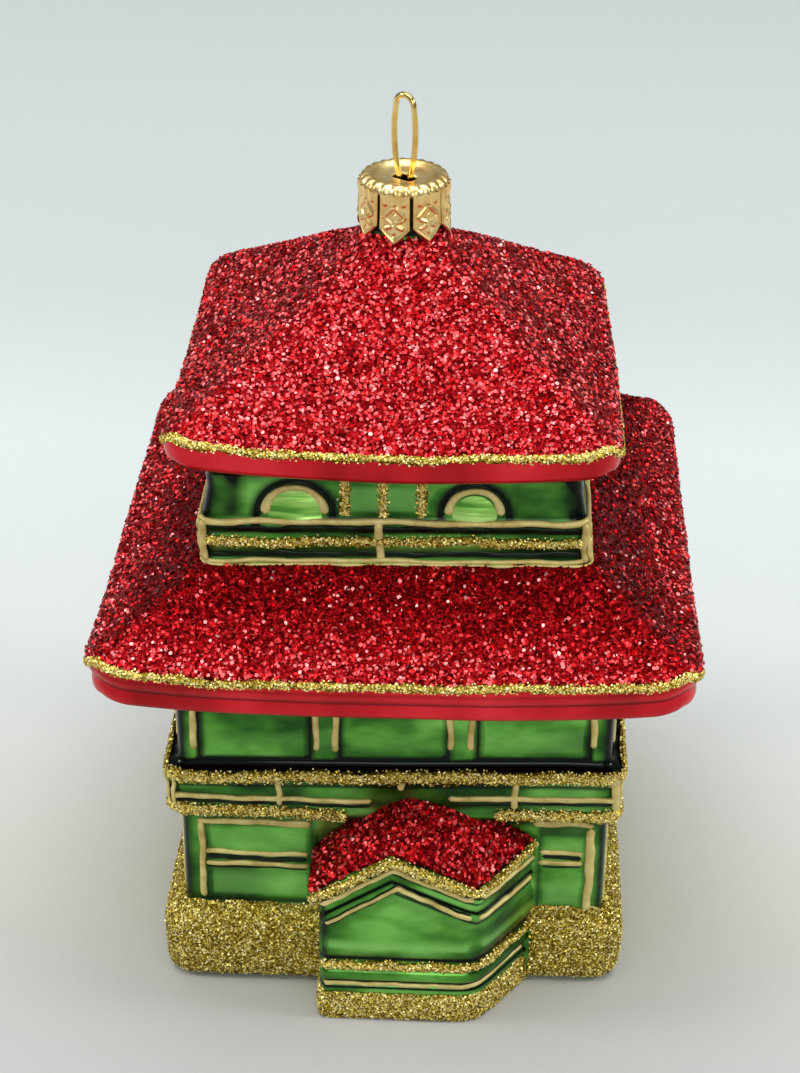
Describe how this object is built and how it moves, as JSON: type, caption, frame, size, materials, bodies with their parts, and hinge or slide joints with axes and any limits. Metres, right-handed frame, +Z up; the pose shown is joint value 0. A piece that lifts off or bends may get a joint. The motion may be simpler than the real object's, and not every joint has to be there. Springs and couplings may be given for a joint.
{
  "type": "blown-glass tree ornament shaped as a two-storey pagoda house",
  "caption": "Blown-glass Christmas tree ornament shaped as a pagoda house, with green walls, ruby glitter roofs with gold glitter edges, a small porch, a crown cap and a wire hanging loop.",
  "frame": {"origin": "middle of the flat underside of the base, on the axis of the round neck", "axes": "+Z up along the neck's axis, -Y out of the porch front, +X to the right of the porch seen from the front"},
  "size_m": [0.0888, 0.0888, 0.1344],
  "materials": {
    "green_glass": "silvered inside, coated outside with glossy transparent green lacquer that pools dark in the grooves",
    "gold_glitter": "fine gold glitter flakes in clear glue",
    "ruby_glitter": "coarse ruby glitter flakes in clear glue over red lacquer",
    "red_lacquer": "satin metallic red lacquer",
    "cream_enamel": "hand-painted raised lines of satin golden cream enamel",
    "pane_lacquer": "yellow-green lacquer, satin",
    "brass_sheet": "thin stamped sheet with a bright gold-coloured plating",
    "brass_wire": "bright gold-coloured plated spring wire"
  },
  "bodies": {
    "ornament": {"glass_shell": "green_glass", "base_glitter": "gold_glitter", "porch_base_glitter": "gold_glitter", "balcony_lower_glitter_line": "gold_glitter", "balcony_upper_glitter_line": "gold_glitter", "lower_eave_lacquer": "red_lacquer", "lower_eave_glitter_line": "gold_glitter", "lower_roof_glitter": "ruby_glitter", "band_glitter_line": "gold_glitter", "upper_eave_lacquer": "red_lacquer", "upper_eave_glitter_line": "gold_glitter", "upper_roof_glitter": "ruby_glitter", "porch_roof_glitter": "ruby_glitter", "porch_glitter_trim": "gold_glitter", "upper_wall_glitter_strips": "gold_glitter", "ground_floor_enamel": "cream_enamel", "balcony_enamel": "cream_enamel", "first_floor_enamel": "cream_enamel", "band_enamel": "cream_enamel", "window_arches": "cream_enamel", "window_panes": "pane_lacquer", "porch_enamel": "cream_enamel"},
    "cap_and_hanger": {"crown_cap": "brass_sheet", "hanger_wire": "brass_wire"}
  },
  "joints": [
    {"name": "hanger_swivel", "type": "hinge", "parent": "ornament", "child": "cap_and_hanger", "pos_m": [0, 0, 0.1114], "axis": [0, 0, 1], "continuous": true}
  ]
}
